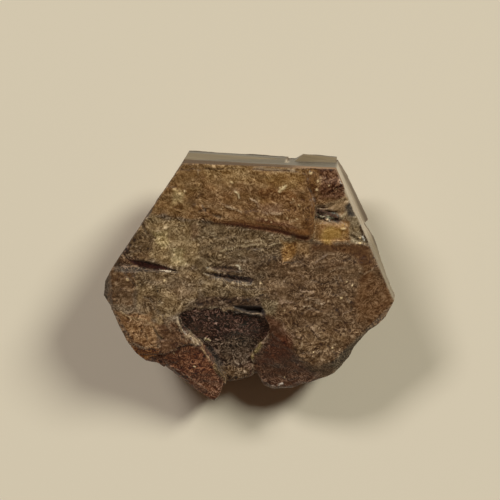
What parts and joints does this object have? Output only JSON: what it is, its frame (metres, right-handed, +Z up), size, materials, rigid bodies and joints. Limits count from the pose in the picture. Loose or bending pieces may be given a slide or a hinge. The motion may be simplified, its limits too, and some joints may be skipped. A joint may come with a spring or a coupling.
{
  "type": "bastnasite crystal",
  "caption": "Thick tabular hexagonal bastnasite crystal with a frosted stepped basal face and glossy prism faces, lying tilted on its broken underside.",
  "frame": {"origin": "on the surface that the crystal rests on, under the middle of its bounding box", "axes": "+Z up; +X to the right along the longest extent; +Y away from the broken front edge, towards the back prism face"},
  "size_m": [0.0294, 0.0255, 0.0118],
  "materials": {
    "crystal": "frosted, etched brown basal face with olive and red zones; glossy grey-brown prism faces"
  },
  "bodies": {
    "root": {"bastnasite_crystal": "crystal"}
  },
  "joints": []
}
